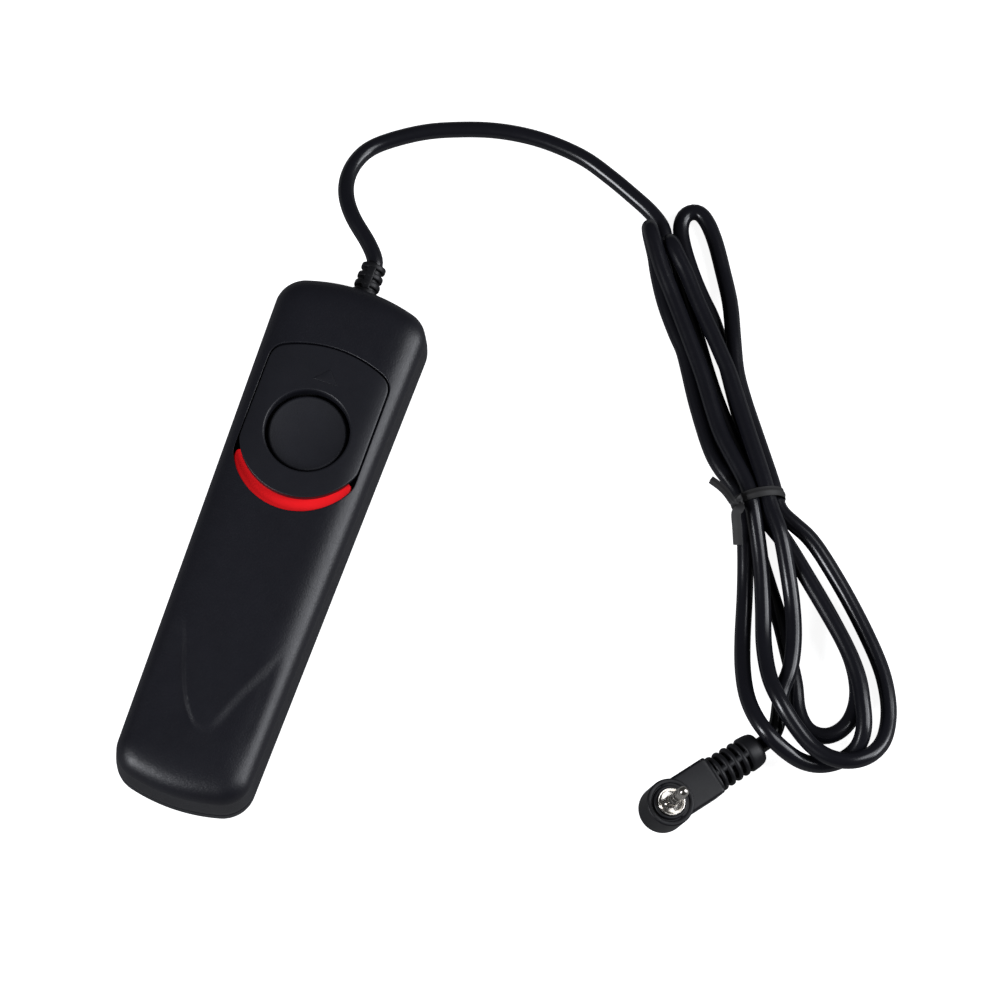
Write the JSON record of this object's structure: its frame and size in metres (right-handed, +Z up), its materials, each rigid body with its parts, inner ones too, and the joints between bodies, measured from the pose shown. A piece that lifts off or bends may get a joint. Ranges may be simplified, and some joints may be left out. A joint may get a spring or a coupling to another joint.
{
  "type": "cable shutter release",
  "caption": "Wired remote shutter release: slim handset with a round button in a sliding lock plate, coiled lead held by a twist tie and a right-angle 2.5 mm plug.",
  "frame": {"origin": "centre of the handset's plan, on its flat underside", "axes": "+Y along the handset towards the lead exit, +Z up out of the button face"},
  "size_m": [0.1555, 0.1706, 0.0228],
  "materials": {
    "shell_black": "satin, fine grain",
    "plate_black": "smooth matte",
    "button_black": "smooth matte",
    "flag_red": "satin",
    "inner_grey": "moulded",
    "plunger_white": "moulded",
    "screw_steel": "zinc plated",
    "spring_steel": "drawn wire",
    "board_green": "solder mask",
    "contact_bronze": "sheet",
    "solder": "soldered",
    "wire_bare": "stranded",
    "wire_yellow": "insulated",
    "wire_red": "insulated",
    "rubber_black": "soft moulded",
    "cable_black": "satin",
    "tie_black": "coated wire",
    "plug_metal": "nickel plated",
    "insulator_black": "moulded"
  },
  "bodies": {
    "handset": {"upper_shell": "shell_black", "lower_shell": "shell_black", "case_screws": "screw_steel", "hold_flag": "flag_red", "hold_detent_spring": "spring_steel", "contact_board": "board_green", "board_screws": "screw_steel", "contact_block": "inner_grey", "focus_leaf": "contact_bronze", "shutter_contact": "contact_bronze", "solder_joints": "solder", "wire_common": "wire_bare", "wire_focus": "wire_yellow", "wire_shutter": "wire_red", "cable_clamp": "inner_grey", "clamp_screws": "screw_steel", "strain_relief": "rubber_black", "cable_jacket": "cable_black", "twist_tie": "tie_black", "plug_overmould": "rubber_black", "plug_sleeve": "plug_metal", "plug_insulator_rear": "insulator_black", "plug_ring": "plug_metal", "plug_insulator_front": "insulator_black", "plug_tip": "plug_metal"},
    "slider": {"hold_plate": "plate_black", "slide_carrier": "inner_grey", "slider_screws": "screw_steel", "return_spring": "spring_steel"},
    "button": {"shutter_button": "button_black", "plunger": "plunger_white"},
    "leaf": {"common_leaf": "contact_bronze"}
  },
  "joints": [
    {"name": "hold_slide", "type": "slide", "parent": "handset", "child": "slider", "axis": [0, 1, 0], "range_m": [-0.003, 0]},
    {"name": "button_press", "type": "slide", "parent": "slider", "child": "button", "axis": [0, 0, 1], "range_m": [0, 0.0019], "stiffness_N_per_m": 300, "springref_m": 0.0019, "deforming": ["return_spring"]},
    {"name": "leaf_flex", "type": "hinge", "parent": "handset", "child": "leaf", "pos_m": [0, 0.006, 0.0063], "axis": [1, 0, 0], "range_deg": [0, 2.1]}
  ],
  "couplings": [
    {"joint": "leaf_flex", "follows": "button_press", "rad_per_m": 17.5}
  ]
}
